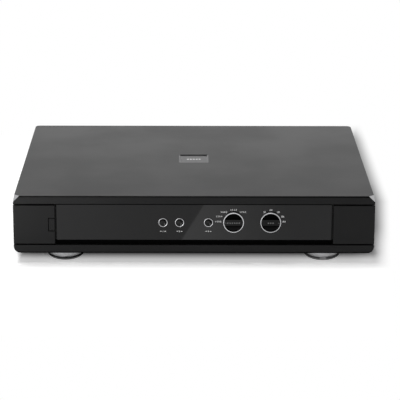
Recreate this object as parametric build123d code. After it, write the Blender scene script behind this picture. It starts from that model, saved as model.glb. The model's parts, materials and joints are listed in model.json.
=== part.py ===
"""Phono preamplifier: low wide metal case with flush front controls, on four round feet.

Millimetres.  +Z is up, the front faces -Y, and +X is to the right of someone who faces the front.
The origin lies on the surface that the feet rest on, below the middle of the whole object.
Each separate piece is written to parts/NAME.step.
"""
import os

from build123d import *

# ---------------------------------------------------------------- driving dimensions: case
case_width = 430.0
case_depth = 345.0
foot_height = 12.0
base_height = 9.6
block_height = 47.8
lid_height = 9.6
base_gap = 1.5
lid_gap = 1.9
front_wall = 5.0
side_wall = 4.0
rail_web = 6.0
floor_thickness = 3.0
lid_thickness = 3.6
plate_thickness = 2.0
rear_corner = 6.0
lid_edge = 0.5
lid_lean = 1.25
lid_facet_x = 6.5
lid_facet_y = 5.5
lid_facet_z = 6.9
base_corner = 8.0
rail_rear_corner = 3.5
assembly_gap = 0.1

# ---------------------------------------------------------------- driving dimensions: badge
badge_mouth = (37.4, 39.0)
badge_floor = (33.0, 38.2)
badge_recess_depth = 1.5
badge_thickness = 0.6
badge_clearance = 0.1

# ---------------------------------------------------------------- driving dimensions: front
block_width = 49.4
panel_height = 44.1
panel_drop = 10.8
panel_setback = 2.0
panel_side_gap = 1.6
panel_edge = 0.4
block_edge = 0.4

control_height = 37.45
control_board_spacing = 16.0
board_thickness = 1.6

# ---------------------------------------------------------------- driving dimensions: power button
power_notch_width = 8.1
power_notch_height = 16.6
power_gap = 0.6
power_cap_thickness = 4.0
power_travel = 3.0
power_plunger_radius = 2.5
power_plunger_length = 15.0
power_switch_width = 18.0
power_switch_height = 25.0
power_switch_depth = 24.0
power_switch_relief = 0.6

# ---------------------------------------------------------------- driving dimensions: push buttons
mono_x = -37.0
mute_x = -17.4
gain_x = 17.1
bezel_radius = 5.4
bezel_sleeve_radius = 5.0
bezel_bore_radius = 4.5
bezel_stand = 1.2
bezel_edge = 0.4
button_radius = 4.35
button_recess = 0.2
button_length = 4.0
button_dish_radius = 9.0
button_dish_depth = 0.8
button_travel = 1.5
button_stem_radius = 1.5
button_stem_length = 11.0
button_end_gap = 0.5
button_relief = 0.4
push_switch_width = 8.0
push_switch_depth = 10.0

# ---------------------------------------------------------------- driving dimensions: knobs
capacitance_x = 46.85
load_x = 91.1
knob_rise = 0.75
knob_radius = 12.4
knob_ring_width = 1.0
knob_ring_edge = 0.35
knob_stand = 4.0
knob_panel_gap = 0.5
knob_bar_height = 7.2
knob_bar_inset = 0.3
knob_recess_depth = 2.2
knob_recess_margin = 0.3
knob_recess_fillet = 0.9
knob_bore_depth = 1.9
shaft_radius = 3.0
running_clearance = 0.05
seat_clearance = 0.02
bushing_radius = 4.5
bushing_clearance = 0.3
rotary_width = 16.0
rotary_bore_depth = 12.0

# ---------------------------------------------------------------- driving dimensions: feet
foot_side_inset = 60.4
foot_inset = 25.5
foot_top_radius = 20.5
foot_waist_radius = 19.0
foot_ring_height = 5.0
foot_ring_hole = 12.0
foot_contact_radius = 15.5
foot_ring_bulge = (18.9, 1.55)
foot_ring_rim = (21.3, 4.0)
foot_ring_shoulder = 19.3
foot_recess_radius = 6.0
foot_recess_depth = 4.0

# ---------------------------------------------------------------- driving dimensions: screws
screw_radius = 1.5
screw_head_radius = 2.75
screw_head_height = 1.8
screw_slot_width = 0.8
screw_slot_depth = 0.9
screw_slot_inset = 0.75
screw_clearance = 0.05
cover_screw_count = 4
cover_screw_inset = 35.0
cover_screw_rise = 4.1
tray_screw_count = 4
tray_screw_inset = 25.0
tray_screw_rise = 3.3
rail_screw_inset = 8.9
rail_screw_grip = 6.0
rail_floor_screw_count = 3
rail_floor_screw_inset = 60.0
block_screw_side_inset = 23.0
block_screw_inset = 8.9
block_screw_grip = 3.5

# ---------------------------------------------------------------- driving dimensions: rear sockets
socket_collar_radius = 5.5
socket_collar_height = 2.5
socket_barrel_radius = 4.15
socket_barrel_length = 9.5
socket_bore_radius = 3.3
socket_neck_radius = 4.5
socket_neck_length = 8.0
socket_hole_clearance = 0.2
socket_nut_radius = 7.0
socket_nut_height = 2.5
socket_insulator_recess = 1.5
socket_contact_radius = 2.1
socket_contact_bore = 1.6
socket_row_pitch = 20.0
output_x = 40.0
input_x = 105.0

balanced_x = (-50.0, -14.0)
balanced_flange_width = 26.0
balanced_flange_height = 31.0
balanced_flange_thickness = 2.0
balanced_corner = 4.0
balanced_barrel_radius = 11.8
balanced_bore_radius = 9.4
balanced_depth = 18.0
balanced_bore_depth = 16.0
balanced_pin_count = 3
balanced_pin_radius = 1.2
balanced_pin_circle = 6.35
balanced_pin_length = 13.5

ground_side_inset = 67.0
ground_stud_radius = 3.0
ground_stud_length = 18.0
ground_collar_radius = 6.0
ground_collar_height = 2.0
ground_inner_height = 3.0
ground_washer_thickness = 1.0
ground_nut_radius = 7.0
ground_nut_height = 9.0
ground_knurl_count = 18
ground_knurl_depth = 0.6

# ---------------------------------------------------------------- driving dimensions: mains inlet
inlet_side_inset = 55.0
inlet_flange_width = 34.0
inlet_flange_height = 38.0
inlet_flange_thickness = 2.5
inlet_corner = 2.5
inlet_body_width = 29.0
inlet_body_height = 33.0
inlet_body_depth = 24.0
inlet_hole_clearance = 0.2
cavity_width = 24.0
cavity_height = 16.0
cavity_depth = 17.0
cavity_rise = 5.6
cavity_corner = 3.5
inlet_pin_width = 2.0
inlet_pin_height = 4.0
inlet_pin_length = 11.0
inlet_pin_spacing = 7.0
inlet_pin_rise = 2.0
drawer_width = 24.0
drawer_height = 8.0
drawer_drop = 9.6
drawer_depth = 20.0
drawer_gap = 0.3
fuse_radius = 2.6
fuse_length = 20.0
fuse_clearance = 0.15
fuse_setback = 5.2

# ---------------------------------------------------------------- driving dimensions: inside
standoff_radius = 3.0
standoff_height = 6.0
board_screw_grip = 4.0
main_board_depth = 186.0
main_board_side_gap = 7.0
main_board_shield_gap = 22.0
main_board_rear_gap = 13.0
supply_board_depth = 105.0
supply_board_side_gap = 5.0
supply_board_shield_gap = 12.0
supply_board_rear_gap = 29.0
board_hole_inset = 7.0
control_board_height = 38.0
control_board_margin = 24.0
control_hole_inset = 5.0

shield_x = -72.0
shield_thickness = 1.2
shield_flange = 13.0
shield_top_gap = 5.4
shield_end_gap = 5.0
shield_screw_count = 3
shield_screw_inset = 42.5

op_amp_size = (10.0, 6.4, 3.5)
op_amp_count = 8
op_amp_start = (50.0, 32.0)
op_amp_pitch = 22.0
relay_size = (20.0, 10.0, 11.0)
relay_count = 6
relay_start = (28.0, 166.0)
relay_pitch = 32.0
film_size = (18.0, 8.0, 14.0)
film_columns = 7
film_rows = 3
film_start = (42.0, 60.0)
film_pitch = (28.0, 32.0)

electrolytic_radius = 12.5
electrolytic_height = 40.0
electrolytic_edge = 1.0
electrolytic_start = (18.0, 24.0)
electrolytic_pitch = (30.0, 32.0)
sink_start = (72.0, 17.0)
sink_end_gap = 8.0
sink_length = 60.0
sink_height = 36.0
sink_base = 4.0
sink_fin = 1.6
sink_fin_count = 8
regulator_size = (4.5, 10.0, 15.0)
regulator_leg = (1.0, 6.0)
regulator_leg_pitch = 2.5
regulator_count = 3
regulator_pitch = 18.0

transformer_side_gap = 19.0
transformer_inset = 118.0
transformer_radius = 44.0
transformer_hole = 14.0
transformer_height = 34.0
transformer_edge = 8.0
transformer_pad_height = 2.0
transformer_washer_radius = 28.0
transformer_washer_height = 2.0
transformer_bolt_radius = 4.0
transformer_bolt_head = 6.5
transformer_bolt_head_height = 5.0

lead_radius = 1.5
lead_wall_gap = 6.0
lead_rise = (-3.0, 3.0)
lead_spread = 4.0
lead_run = 16.0
lead_cross = 24.0
lead_bend = 14.0
ribbon_x = 30.0
ribbon_width = 25.0
ribbon_thickness = 1.0
ribbon_drop = 9.2
ribbon_run = 22.0
ribbon_fall = 24.0
ribbon_overlap = 10.0
ribbon_bend = 12.0

# ---------------------------------------------------------------- derived places
case_front_proud = knob_stand - panel_setback
case_rear_proud = ground_stud_length - side_wall
half_width = case_width / 2
web_outer = half_width - side_wall
web_inner = web_outer - rail_web

front = -(case_depth + case_front_proud + case_rear_proud) / 2 + case_front_proud
rear = front + case_depth
sub_front = front + front_wall
sub_back = sub_front + plate_thickness
panel_front = front + panel_setback
rear_outer = rear - side_wall
rear_inner = rear_outer - plate_thickness
badge_y = (front + rear) / 2

base_z = foot_height
floor_top = base_z + floor_thickness
base_top = base_z + base_height
block_bottom = base_top + base_gap
block_top = block_bottom + block_height
lid_bottom = block_top + lid_gap
case_top = lid_bottom + lid_height
lid_under = case_top - lid_thickness
panel_top = case_top - panel_drop
panel_bottom = panel_top - panel_height
control_z = base_z + control_height
knob_z = control_z + knob_rise

block_inner = half_width - block_width
panel_half_width = block_inner - panel_side_gap
power_x = -(block_inner + power_notch_width / 2)
power_z = (block_bottom + block_top) / 2
board_front = sub_back + control_board_spacing
knob_front = panel_front - knob_stand
button_front = panel_front - bezel_stand + button_recess
board_z = floor_top + standoff_height
board_top = board_z + board_thickness
rear_z = (floor_top + lid_under) / 2
ground_x = half_width - ground_side_inset
inlet_x = -(half_width - inlet_side_inset)
transformer_x = -(web_inner - transformer_side_gap - transformer_radius)
transformer_y = front + transformer_inset

main_board_x = (shield_x + main_board_shield_gap, web_inner - main_board_side_gap)
main_board_back = rear_inner - main_board_rear_gap
main_board_y = (main_board_back - main_board_depth, main_board_back)
supply_board_x = (-(web_inner - supply_board_side_gap), shield_x - supply_board_shield_gap)
supply_board_back = rear_inner - supply_board_rear_gap
supply_board_y = (supply_board_back - supply_board_depth, supply_board_back)
control_board_x = (mono_x - control_board_margin, load_x + control_board_margin)
control_board_z = (control_z - control_board_height / 2, control_z + control_board_height / 2)
button_places = {"mono_button": mono_x, "mute_button": mute_x, "gain_button": gain_x}
knob_places = {"capacitance": capacitance_x, "load": load_x}


# ---------------------------------------------------------------- helpers
def block(x_range, y_range, z_range):
    """Upright box between two limits on each axis."""
    size = [high - low for low, high in (x_range, y_range, z_range)]
    middle = [(high + low) / 2 for low, high in (x_range, y_range, z_range)]
    return Pos(*middle) * Box(*size)


def rod_y(radius, x, z, y_start, y_end):
    """Cylinder along Y."""
    turn = Rot(90, 0, 0) * Cylinder(radius, abs(y_end - y_start))
    return Pos(x, (y_start + y_end) / 2, z) * turn


def rod_z(radius, x, y, z_start, z_end):
    """Cylinder along Z."""
    return Pos(x, y, (z_start + z_end) / 2) * Cylinder(radius, z_end - z_start)


def spread(count, low, high):
    """Evenly spaced places from one limit to the other."""
    return [low + index * (high - low) / (count - 1) for index in range(count)]


def screw(at, direction, grip):
    """Pan head screw: the head's underside is at the given point, the tip lies along direction."""
    head = Pos(0, 0, -screw_head_height / 2) * Cylinder(screw_head_radius, screw_head_height)
    shank = Pos(0, 0, grip / 2) * Cylinder(screw_radius, grip)
    slot_z = -screw_head_height + screw_slot_depth / 2
    slot_length = 2 * (screw_head_radius - screw_slot_inset)
    slot = Pos(0, 0, slot_z) * Box(slot_length, screw_slot_width, screw_slot_depth)
    cross = Pos(0, 0, slot_z) * Box(screw_slot_width, slot_length, screw_slot_depth)
    return Plane(origin=at, z_dir=direction) * (head + shank - slot - cross)


def screw_hole(at, direction, grip):
    """Hole that the screw's shank passes through, from the head's seat to its tip."""
    hole = Pos(0, 0, grip / 2) * Cylinder(screw_radius + screw_clearance, grip)
    return Plane(origin=at, z_dir=direction) * hole


def save(name, *solids):
    """Write one named piece, or a group of equal pieces, to its STEP file."""
    shape = solids[0] if len(solids) == 1 else Compound(children=list(solids))
    shape.label = name
    export_step(shape, f"parts/{name}.step")


# ---------------------------------------------------------------- screws
def cover_screw_places():
    """Seats on the back of the lid's rim."""
    reach = half_width - cover_screw_inset
    return [(x, rear, lid_bottom + cover_screw_rise) for x in spread(cover_screw_count, -reach, reach)]


def tray_screw_places():
    """Seats on the back of the tray's rim."""
    reach = half_width - tray_screw_inset
    return [(x, rear, floor_top + tray_screw_rise) for x in spread(tray_screw_count, -reach, reach)]


def rear_rail_screw_places():
    """Seats on the rear panel, over the ends of the side rails' webs."""
    web_middle = (web_inner + web_outer) / 2
    heights = (block_bottom + rail_screw_inset, block_top - rail_screw_inset)
    return [(side * web_middle, rear_outer, z) for side in (-1, 1) for z in heights]


def floor_rail_screw_places():
    """Seats under the tray, below the side rails' webs."""
    web_middle = (web_inner + web_outer) / 2
    ys = spread(rail_floor_screw_count, front + rail_floor_screw_inset, rear - rail_floor_screw_inset)
    return [(side * web_middle, y, base_z) for side in (-1, 1) for y in ys]


def block_screw_places():
    """Seats on the back of the subpanel, behind the end blocks."""
    x = half_width - block_screw_side_inset
    heights = (block_bottom + block_screw_inset, block_top - block_screw_inset)
    return [(side * x, sub_back, z) for side in (-1, 1) for z in heights]


def shield_screw_places():
    """Seats on the shield's foot."""
    x = shield_x + shield_thickness + shield_flange / 2
    ys = spread(shield_screw_count, front + shield_screw_inset, rear - shield_screw_inset)
    return [(x, y, floor_top + shield_thickness) for y in ys]


def board_corners(x_range, y_range):
    """Fixing points of a horizontal board."""
    xs = (x_range[0] + board_hole_inset, x_range[1] - board_hole_inset)
    ys = (y_range[0] + board_hole_inset, y_range[1] - board_hole_inset)
    return [(x, y) for x in xs for y in ys]


def floor_board_places():
    """Fixing points of both horizontal boards."""
    main = board_corners(main_board_x, main_board_y)
    supply = board_corners(supply_board_x, supply_board_y)
    return main + supply


def control_board_places():
    """Fixing points of the upright control board."""
    xs = (control_board_x[0] + control_hole_inset, control_board_x[1] - control_hole_inset)
    zs = (control_board_z[0] + control_hole_inset, control_board_z[1] - control_hole_inset)
    return [(x, z) for x in xs for z in zs]


rim_grip = side_wall + plate_thickness
block_grip = plate_thickness + block_screw_grip
rail_grip = plate_thickness + rail_screw_grip
floor_grip = floor_thickness + rail_screw_grip
shield_grip = shield_thickness + floor_thickness
board_grip = board_thickness + board_screw_grip


def screw_list():
    """Every machine screw of the case and boards, as seat, direction and grip."""
    rows = [(at, (0, -1, 0), rim_grip) for at in cover_screw_places() + tray_screw_places()]
    rows += [(at, (0, -1, 0), rail_grip) for at in rear_rail_screw_places()]
    rows += [(at, (0, 0, 1), floor_grip) for at in floor_rail_screw_places()]
    rows += [(at, (0, -1, 0), block_grip) for at in block_screw_places()]
    rows += [(at, (0, 0, -1), shield_grip) for at in shield_screw_places()]
    rows += [((x, y, board_top), (0, 0, -1), board_grip) for x, y in floor_board_places()]
    board_back = board_front + board_thickness
    rows += [((x, board_back, z), (0, -1, 0), board_grip) for x, z in control_board_places()]
    return rows


def drill(shape, places, direction, grip):
    """Cut the screw holes at these seats."""
    for at in places:
        shape -= screw_hole(at, direction, grip)
    return shape


# ---------------------------------------------------------------- case
def leaning_slab():
    """Slab of the lid: front and sides lean inwards, the back is upright between rounded corners."""
    slab = block((-half_width, half_width), (front, rear), (lid_bottom, case_top))
    for x, y in ((-1, 0), (1, 0), (0, -1)):
        foot = (x * half_width, rear if y == 0 else front, lid_bottom)
        outward = (x * lid_height, y * lid_height, lid_lean)
        slab = split(slab, bisect_by=Plane(origin=foot, z_dir=outward), keep=Keep.BOTTOM)
    rear_edges = slab.faces().sort_by(Axis.Y)[-1].edges().sort_by(Axis.X)
    return fillet([rear_edges[0], rear_edges[-1]], rear_corner)


def well(z_range):
    """Space inside the rims of the lid or tray."""
    return block((-web_outer, web_outer), (sub_front, rear_outer), z_range)


def badge_dish():
    """Dish in the top of the lid: the left and right walls slope, the others are nearly upright."""
    floor = Plane((0, badge_y, case_top - badge_recess_depth)) * Rectangle(*badge_floor)
    mouth = Plane((0, badge_y, case_top)) * Rectangle(*badge_mouth)
    return loft([floor, mouth])


def lid_corner(side, drop):
    """Point on a front corner of the lid, this far below the top."""
    lean = lid_lean * (1 - drop / lid_height)
    return Vector(side * (half_width - lean), front + lean, case_top - drop)


def top_cover():
    lid = leaning_slab()
    lid = chamfer(lid.faces().sort_by(Axis.Z)[-1].edges(), lid_edge)
    lid -= well((lid_bottom, lid_under))
    lid -= badge_dish()
    for side in (-1, 1):
        on_front = lid_corner(side, 0) - Vector(side * lid_facet_x, 0, 0)
        on_side = lid_corner(side, 0) + Vector(0, lid_facet_y, 0)
        on_corner = lid_corner(side, lid_facet_z)
        outward = (on_side - on_front).cross(on_corner - on_front)
        if outward.Z < 0:
            outward = -outward
        lid = split(lid, bisect_by=Plane(origin=on_front, z_dir=outward), keep=Keep.BOTTOM)
    return drill(lid, cover_screw_places(), (0, -1, 0), rim_grip)


def top_badge():
    """Plate on the floor of the dish, with a wing up each sloping wall."""
    half_x = badge_mouth[0] / 2
    half_y = badge_floor[1] / 2 - badge_clearance
    reach = block((-half_x, half_x), (badge_y - half_y, badge_y + half_y),
                  (case_top - badge_recess_depth, case_top))
    return (badge_dish() & reach) - Pos(0, 0, badge_thickness) * badge_dish()


def base_tray():
    tray = block((-half_width, half_width), (front, rear), (base_z, base_top))
    tray = fillet(tray.edges().filter_by(Axis.Z).group_by(Axis.Y)[-1], rear_corner)
    bottom_edges = tray.faces().sort_by(Axis.Z)[0].edges().filter_by(Axis.Y)
    tray = fillet(bottom_edges, base_corner)
    tray -= well((floor_top, base_top))
    for x, y in foot_places():
        tray -= rod_z(screw_radius + screw_clearance, x, y, base_z, floor_top)
    tray -= rod_z(transformer_bolt_radius + screw_clearance, transformer_x, transformer_y, base_z, floor_top)
    tray = drill(tray, tray_screw_places(), (0, -1, 0), rim_grip)
    tray = drill(tray, floor_rail_screw_places(), (0, 0, 1), floor_grip)
    return drill(tray, shield_screw_places(), (0, 0, -1), shield_grip)


def side_rail(side):
    """Side wall: a flush skin between the shadow gaps, on a taller web that carries the lid."""
    skin_x = sorted((side * web_outer, side * half_width))
    web_x = sorted((side * web_inner, side * web_outer))
    skin = block(skin_x, (sub_front, rear), (block_bottom, block_top))
    outer_edges = skin.edges().filter_by(Axis.Z).group_by(Axis.Y)[-1]
    corner = outer_edges.sort_by(Axis.X)[-1 if side > 0 else 0]
    skin = fillet(corner, rail_rear_corner)
    web = block(web_x, (sub_back, rear_inner), (floor_top, lid_under))
    rail = skin + web
    rail = drill(rail, rear_rail_screw_places(), (0, -1, 0), rail_grip)
    return drill(rail, floor_rail_screw_places(), (0, 0, 1), floor_grip)


def end_block(side):
    """Front cheek beside the control panel. The left one is notched for the power button."""
    x_range = sorted((side * block_inner, side * half_width))
    cheek = block(x_range, (front, sub_front), (block_bottom, block_top))
    cheek = chamfer(cheek.faces().sort_by(Axis.Y)[0].edges(), block_edge)
    if side < 0:
        cheek -= block((power_x - power_notch_width / 2, power_x + power_notch_width),
                       (front, sub_front), power_notch_z())
    return drill(cheek, block_screw_places(), (0, -1, 0), block_grip)


def power_notch_z():
    """Lowest and highest point of the power button's notch."""
    return power_z - power_notch_height / 2, power_z + power_notch_height / 2


def front_subpanel():
    """Steel plate that carries the control panel, the end blocks and the switches."""
    reach = web_outer - assembly_gap
    plate = block((-reach, reach), (sub_front, sub_back), (floor_top, lid_under - assembly_gap))
    half_notch = power_notch_width / 2
    plate -= block((power_x - half_notch, power_x + half_notch), (sub_front, sub_back), power_notch_z())
    for x in button_places.values():
        plate -= rod_y(button_radius + button_relief, x, control_z, sub_front, sub_back)
    for x in knob_places.values():
        plate -= rod_y(bushing_radius + bushing_clearance, x, knob_z, sub_front, sub_back)
    return drill(plate, block_screw_places(), (0, -1, 0), block_grip)


def front_panel():
    """Gloss panel that the buttons and knobs stand in."""
    panel = block((-panel_half_width, panel_half_width), (panel_front, sub_front), (panel_bottom, panel_top))
    panel = chamfer(panel.faces().sort_by(Axis.Y)[0].edges(), panel_edge)
    for x in button_places.values():
        panel -= rod_y(bezel_sleeve_radius + seat_clearance, x, control_z, panel_front, sub_front)
    for x in knob_places.values():
        panel -= rod_y(bushing_radius + bushing_clearance, x, knob_z, panel_front, sub_front)
    return panel


def rear_panel():
    """Steel plate between the rims at the back, with a hole for every socket."""
    reach = web_outer - assembly_gap
    panel = block((-reach, reach), (rear_inner, rear_outer), (floor_top, lid_under - assembly_gap))
    for x, z in phono_places():
        panel -= rod_y(socket_neck_radius + socket_hole_clearance, x, z, rear_inner, rear_outer)
    for x in balanced_x:
        panel -= rod_y(balanced_barrel_radius + socket_hole_clearance, x, rear_z, rear_inner, rear_outer)
    panel -= rod_y(ground_stud_radius + socket_hole_clearance, ground_x, rear_z, rear_inner, rear_outer)
    hole_x = inlet_body_width / 2 + inlet_hole_clearance
    hole_z = inlet_body_height / 2 + inlet_hole_clearance
    panel -= block((inlet_x - hole_x, inlet_x + hole_x), (rear_inner, rear_outer),
                   (rear_z - hole_z, rear_z + hole_z))
    panel = drill(panel, cover_screw_places() + tray_screw_places(), (0, -1, 0), rim_grip)
    return drill(panel, rear_rail_screw_places(), (0, -1, 0), rail_grip)


def shield_plate():
    """Steel wall between the power supply and the signal boards."""
    y_range = (sub_back + shield_end_gap, rear_inner - shield_end_gap)
    wall = block((shield_x, shield_x + shield_thickness), y_range, (floor_top, lid_under - shield_top_gap))
    foot = block((shield_x, shield_x + shield_thickness + shield_flange), y_range,
                 (floor_top, floor_top + shield_thickness))
    return drill(wall + foot, shield_screw_places(), (0, 0, -1), shield_grip)


# ---------------------------------------------------------------- feet
def foot_places():
    """Centres of the four feet, front pair first."""
    ys = (front + foot_inset, rear - foot_inset)
    return [(side * (half_width - foot_side_inset), y) for y in ys for side in (-1, 1)]


def foot_body(x, y):
    """Flared metal foot, recessed below for its screw."""
    lower = Plane((x, y, foot_ring_height)) * Circle(foot_waist_radius)
    upper = Plane((x, y, base_z)) * Circle(foot_top_radius)
    body = loft([lower, upper])
    body -= rod_z(foot_recess_radius, x, y, foot_ring_height, foot_ring_height + foot_recess_depth)
    return body - rod_z(screw_radius + screw_clearance, x, y, foot_ring_height, base_z)


def foot_ring(x, y):
    """Ring under the foot, rounded outside and wider than the foot where they meet."""
    contact = (foot_contact_radius, 0)
    shoulder = (foot_ring_shoulder, foot_ring_height)
    outline = ThreePointArc(contact, foot_ring_bulge, foot_ring_rim)
    outline += Polyline(foot_ring_rim, shoulder, (foot_ring_hole, foot_ring_height),
                        (foot_ring_hole, 0), contact)
    return Pos(x, y, 0) * revolve(Plane.XZ * make_face(outline), Axis.Z)


def foot_screw(x, y):
    return screw((x, y, foot_ring_height + foot_recess_depth), (0, 0, 1),
                 floor_top - foot_ring_height - foot_recess_depth)


# ---------------------------------------------------------------- front controls
def power_button():
    left = power_x - power_notch_width / 2 + power_gap
    right = power_x + power_notch_width / 2
    low, high = power_notch_z()
    cap = block((left, right), (front, front + power_cap_thickness), (low + power_gap, high - power_gap))
    return chamfer(cap.faces().sort_by(Axis.Y)[0].edges(), block_edge)


def power_middle_x():
    """Middle of the power button's cap."""
    return power_x + power_gap / 2


def power_plunger():
    start = front + power_cap_thickness
    return rod_y(power_plunger_radius, power_middle_x(), power_z, start, start + power_plunger_length)


def power_switch():
    """Mains switch behind the subpanel. It guides the button's plunger."""
    x = power_middle_x()
    half_x = power_switch_width / 2
    half_z = power_switch_height / 2
    body = block((x - half_x, x + half_x), (sub_back, sub_back + power_switch_depth),
                 (power_z - half_z, power_z + half_z))
    notch = power_notch_width / 2 + power_switch_relief
    low, high = power_notch_z()
    body -= block((x - notch, x + notch), (sub_back, sub_back + power_switch_relief),
                  (low - power_switch_relief, high + power_switch_relief))
    bore_end = front + power_cap_thickness + power_plunger_length + power_travel + power_switch_relief
    return body - rod_y(power_plunger_radius + running_clearance, x, power_z, sub_back, bore_end)


def button_bezel(x):
    """Ring round a push button, domed in front, with a sleeve through the panel."""
    flange = rod_y(bezel_radius, x, control_z, panel_front - bezel_stand, panel_front)
    sleeve = rod_y(bezel_sleeve_radius, x, control_z, panel_front, sub_front)
    bezel = flange + sleeve - rod_y(bezel_bore_radius, x, control_z, panel_front - bezel_stand, sub_front)
    return fillet(bezel.edges().filter_by(GeomType.CIRCLE).group_by(Axis.Y)[0], bezel_edge)


def push_button(x):
    """Dished cap on a stem."""
    cap_back = button_front + button_length
    cap = rod_y(button_radius, x, control_z, button_front, cap_back)
    dish_y = button_front + button_dish_depth - button_dish_radius
    dish = Pos(x, dish_y, control_z) * Sphere(button_dish_radius)
    stem = rod_y(button_stem_radius, x, control_z, cap_back, cap_back + button_stem_length)
    return cap - dish + stem


def push_switch(x):
    """Switch on the control board. It guides the button's stem."""
    half = push_switch_width / 2
    body = block((x - half, x + half), (board_front - push_switch_depth, board_front),
                 (control_z - half, control_z + half))
    stem_end = button_front + button_length + button_stem_length
    return body - rod_y(button_stem_radius + running_clearance, x, control_z,
                        board_front - push_switch_depth, stem_end + button_travel + button_end_gap)


def knob_recess(x, side):
    """Finger recess above or below the knob's bar."""
    face = knob_front + knob_bar_inset
    floor = face + knob_recess_depth
    radius = knob_radius - knob_ring_width - knob_recess_margin
    z_range = sorted((knob_z + side * knob_bar_height / 2, knob_z + side * radius))
    segment = rod_y(radius, x, knob_z, face, floor)
    segment &= block((x - radius, x + radius), (face, floor), z_range)
    return fillet(segment.faces().sort_by(Axis.Y)[-1].edges(), knob_recess_fillet)


def knob_cap(x):
    """Knob face: a bar across two finger recesses."""
    radius = knob_radius - knob_ring_width - seat_clearance
    back = panel_front - knob_panel_gap
    cap = rod_y(radius, x, knob_z, knob_front + knob_bar_inset, back)
    cap -= knob_recess(x, -1)
    cap -= knob_recess(x, 1)
    return cap - rod_y(shaft_radius + seat_clearance, x, knob_z, back - knob_bore_depth, back)


def knob_ring(x):
    ring = rod_y(knob_radius, x, knob_z, knob_front, panel_front - knob_panel_gap)
    front_edge = ring.edges().filter_by(GeomType.CIRCLE).sort_by(Axis.Y)[0]
    ring = chamfer(front_edge, knob_ring_edge)
    hole = knob_radius - knob_ring_width
    return ring - rod_y(hole, x, knob_z, knob_front, panel_front - knob_panel_gap)


def knob_shaft(x):
    start = panel_front - knob_panel_gap - knob_bore_depth + seat_clearance
    return rod_y(shaft_radius, x, knob_z, start, sub_back + rotary_bore_depth - running_clearance)


def rotary_switch(x):
    """Step switch whose bushing passes through both front plates."""
    half = rotary_width / 2
    body = block((x - half, x + half), (sub_back, board_front), (knob_z - half, knob_z + half))
    body += rod_y(bushing_radius, x, knob_z, panel_front, sub_back)
    return body - rod_y(shaft_radius + running_clearance, x, knob_z, panel_front,
                        sub_back + rotary_bore_depth)


def control_board():
    board = block(control_board_x, (board_front, board_front + board_thickness), control_board_z)
    board_back = board_front + board_thickness
    places = [(x, board_back, z) for x, z in control_board_places()]
    return drill(board, places, (0, -1, 0), board_grip)


# ---------------------------------------------------------------- rear sockets
def phono_places():
    """Centres of the phono sockets: both inputs, then both outputs."""
    rows = (rear_z - socket_row_pitch / 2, rear_z + socket_row_pitch / 2)
    return [(x, z) for x in (input_x, output_x) for z in rows]


def phono_shell(x, z):
    collar_back = rear_outer + socket_collar_height
    shell = rod_y(socket_collar_radius, x, z, rear_outer, collar_back)
    shell += rod_y(socket_barrel_radius, x, z, collar_back, collar_back + socket_barrel_length)
    shell += rod_y(socket_neck_radius, x, z, rear_outer - socket_neck_length, rear_outer)
    return shell - rod_y(socket_bore_radius, x, z, rear_outer - socket_neck_length,
                         collar_back + socket_barrel_length)


def phono_insulator(x, z):
    end = rear_outer + socket_collar_height + socket_barrel_length - socket_insulator_recess
    start = rear_outer - socket_neck_length
    plug = rod_y(socket_bore_radius - seat_clearance, x, z, start, end)
    return plug - rod_y(socket_contact_radius + seat_clearance, x, z, start, end)


def phono_contact(x, z):
    end = rear_outer + socket_collar_height + socket_barrel_length - socket_insulator_recess
    start = rear_outer - socket_neck_length
    tube = rod_y(socket_contact_radius, x, z, start, end)
    return tube - rod_y(socket_contact_bore, x, z, rear_outer - socket_collar_height, end)


def phono_nut(x, z):
    hexagon = Plane((x, rear_inner, z), z_dir=(0, -1, 0)) * RegularPolygon(socket_nut_radius, 6)
    nut = extrude(hexagon, socket_nut_height)
    return nut - rod_y(socket_neck_radius + seat_clearance, x, z, rear_inner - socket_nut_height, rear_inner)


def balanced_socket(x):
    """Three-pin output socket with a square flange."""
    half_x = balanced_flange_width / 2
    half_z = balanced_flange_height / 2
    face = rear_outer + balanced_flange_thickness
    flange = block((x - half_x, x + half_x), (rear_outer, face), (rear_z - half_z, rear_z + half_z))
    flange = fillet(flange.edges().filter_by(Axis.Y), balanced_corner)
    barrel = rod_y(balanced_barrel_radius, x, rear_z, rear_outer - balanced_depth, rear_outer)
    bore = rod_y(balanced_bore_radius, x, rear_z, face - balanced_bore_depth, face)
    return flange + barrel - bore


def balanced_pin_places(x):
    """Centres of the three pins of one socket."""
    step = 360 / balanced_pin_count
    turns = [Rot(0, index * step, 0) * Pos(0, 0, balanced_pin_circle) for index in range(balanced_pin_count)]
    return [(x + turn.position.X, rear_z + turn.position.Z) for turn in turns]


def balanced_pin(x, z):
    start = rear_outer + balanced_flange_thickness - balanced_bore_depth
    return rod_y(balanced_pin_radius, x, z, start, start + balanced_pin_length)


def ground_post():
    """Stud for the turntable's ground wire, clamped to the rear panel by its two collars."""
    start = rear_inner - ground_inner_height
    post = rod_y(ground_stud_radius, ground_x, rear_z, start, rear_outer + ground_stud_length)
    post += rod_y(ground_collar_radius, ground_x, rear_z, rear_outer, rear_outer + ground_collar_height)
    return post + rod_y(ground_collar_radius, ground_x, rear_z, start, rear_inner)


def ground_washer():
    start = rear_outer + ground_collar_height
    end = start + ground_washer_thickness
    washer = rod_y(ground_collar_radius, ground_x, rear_z, start, end)
    return washer - rod_y(ground_stud_radius + running_clearance, ground_x, rear_z, start, end)


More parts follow.
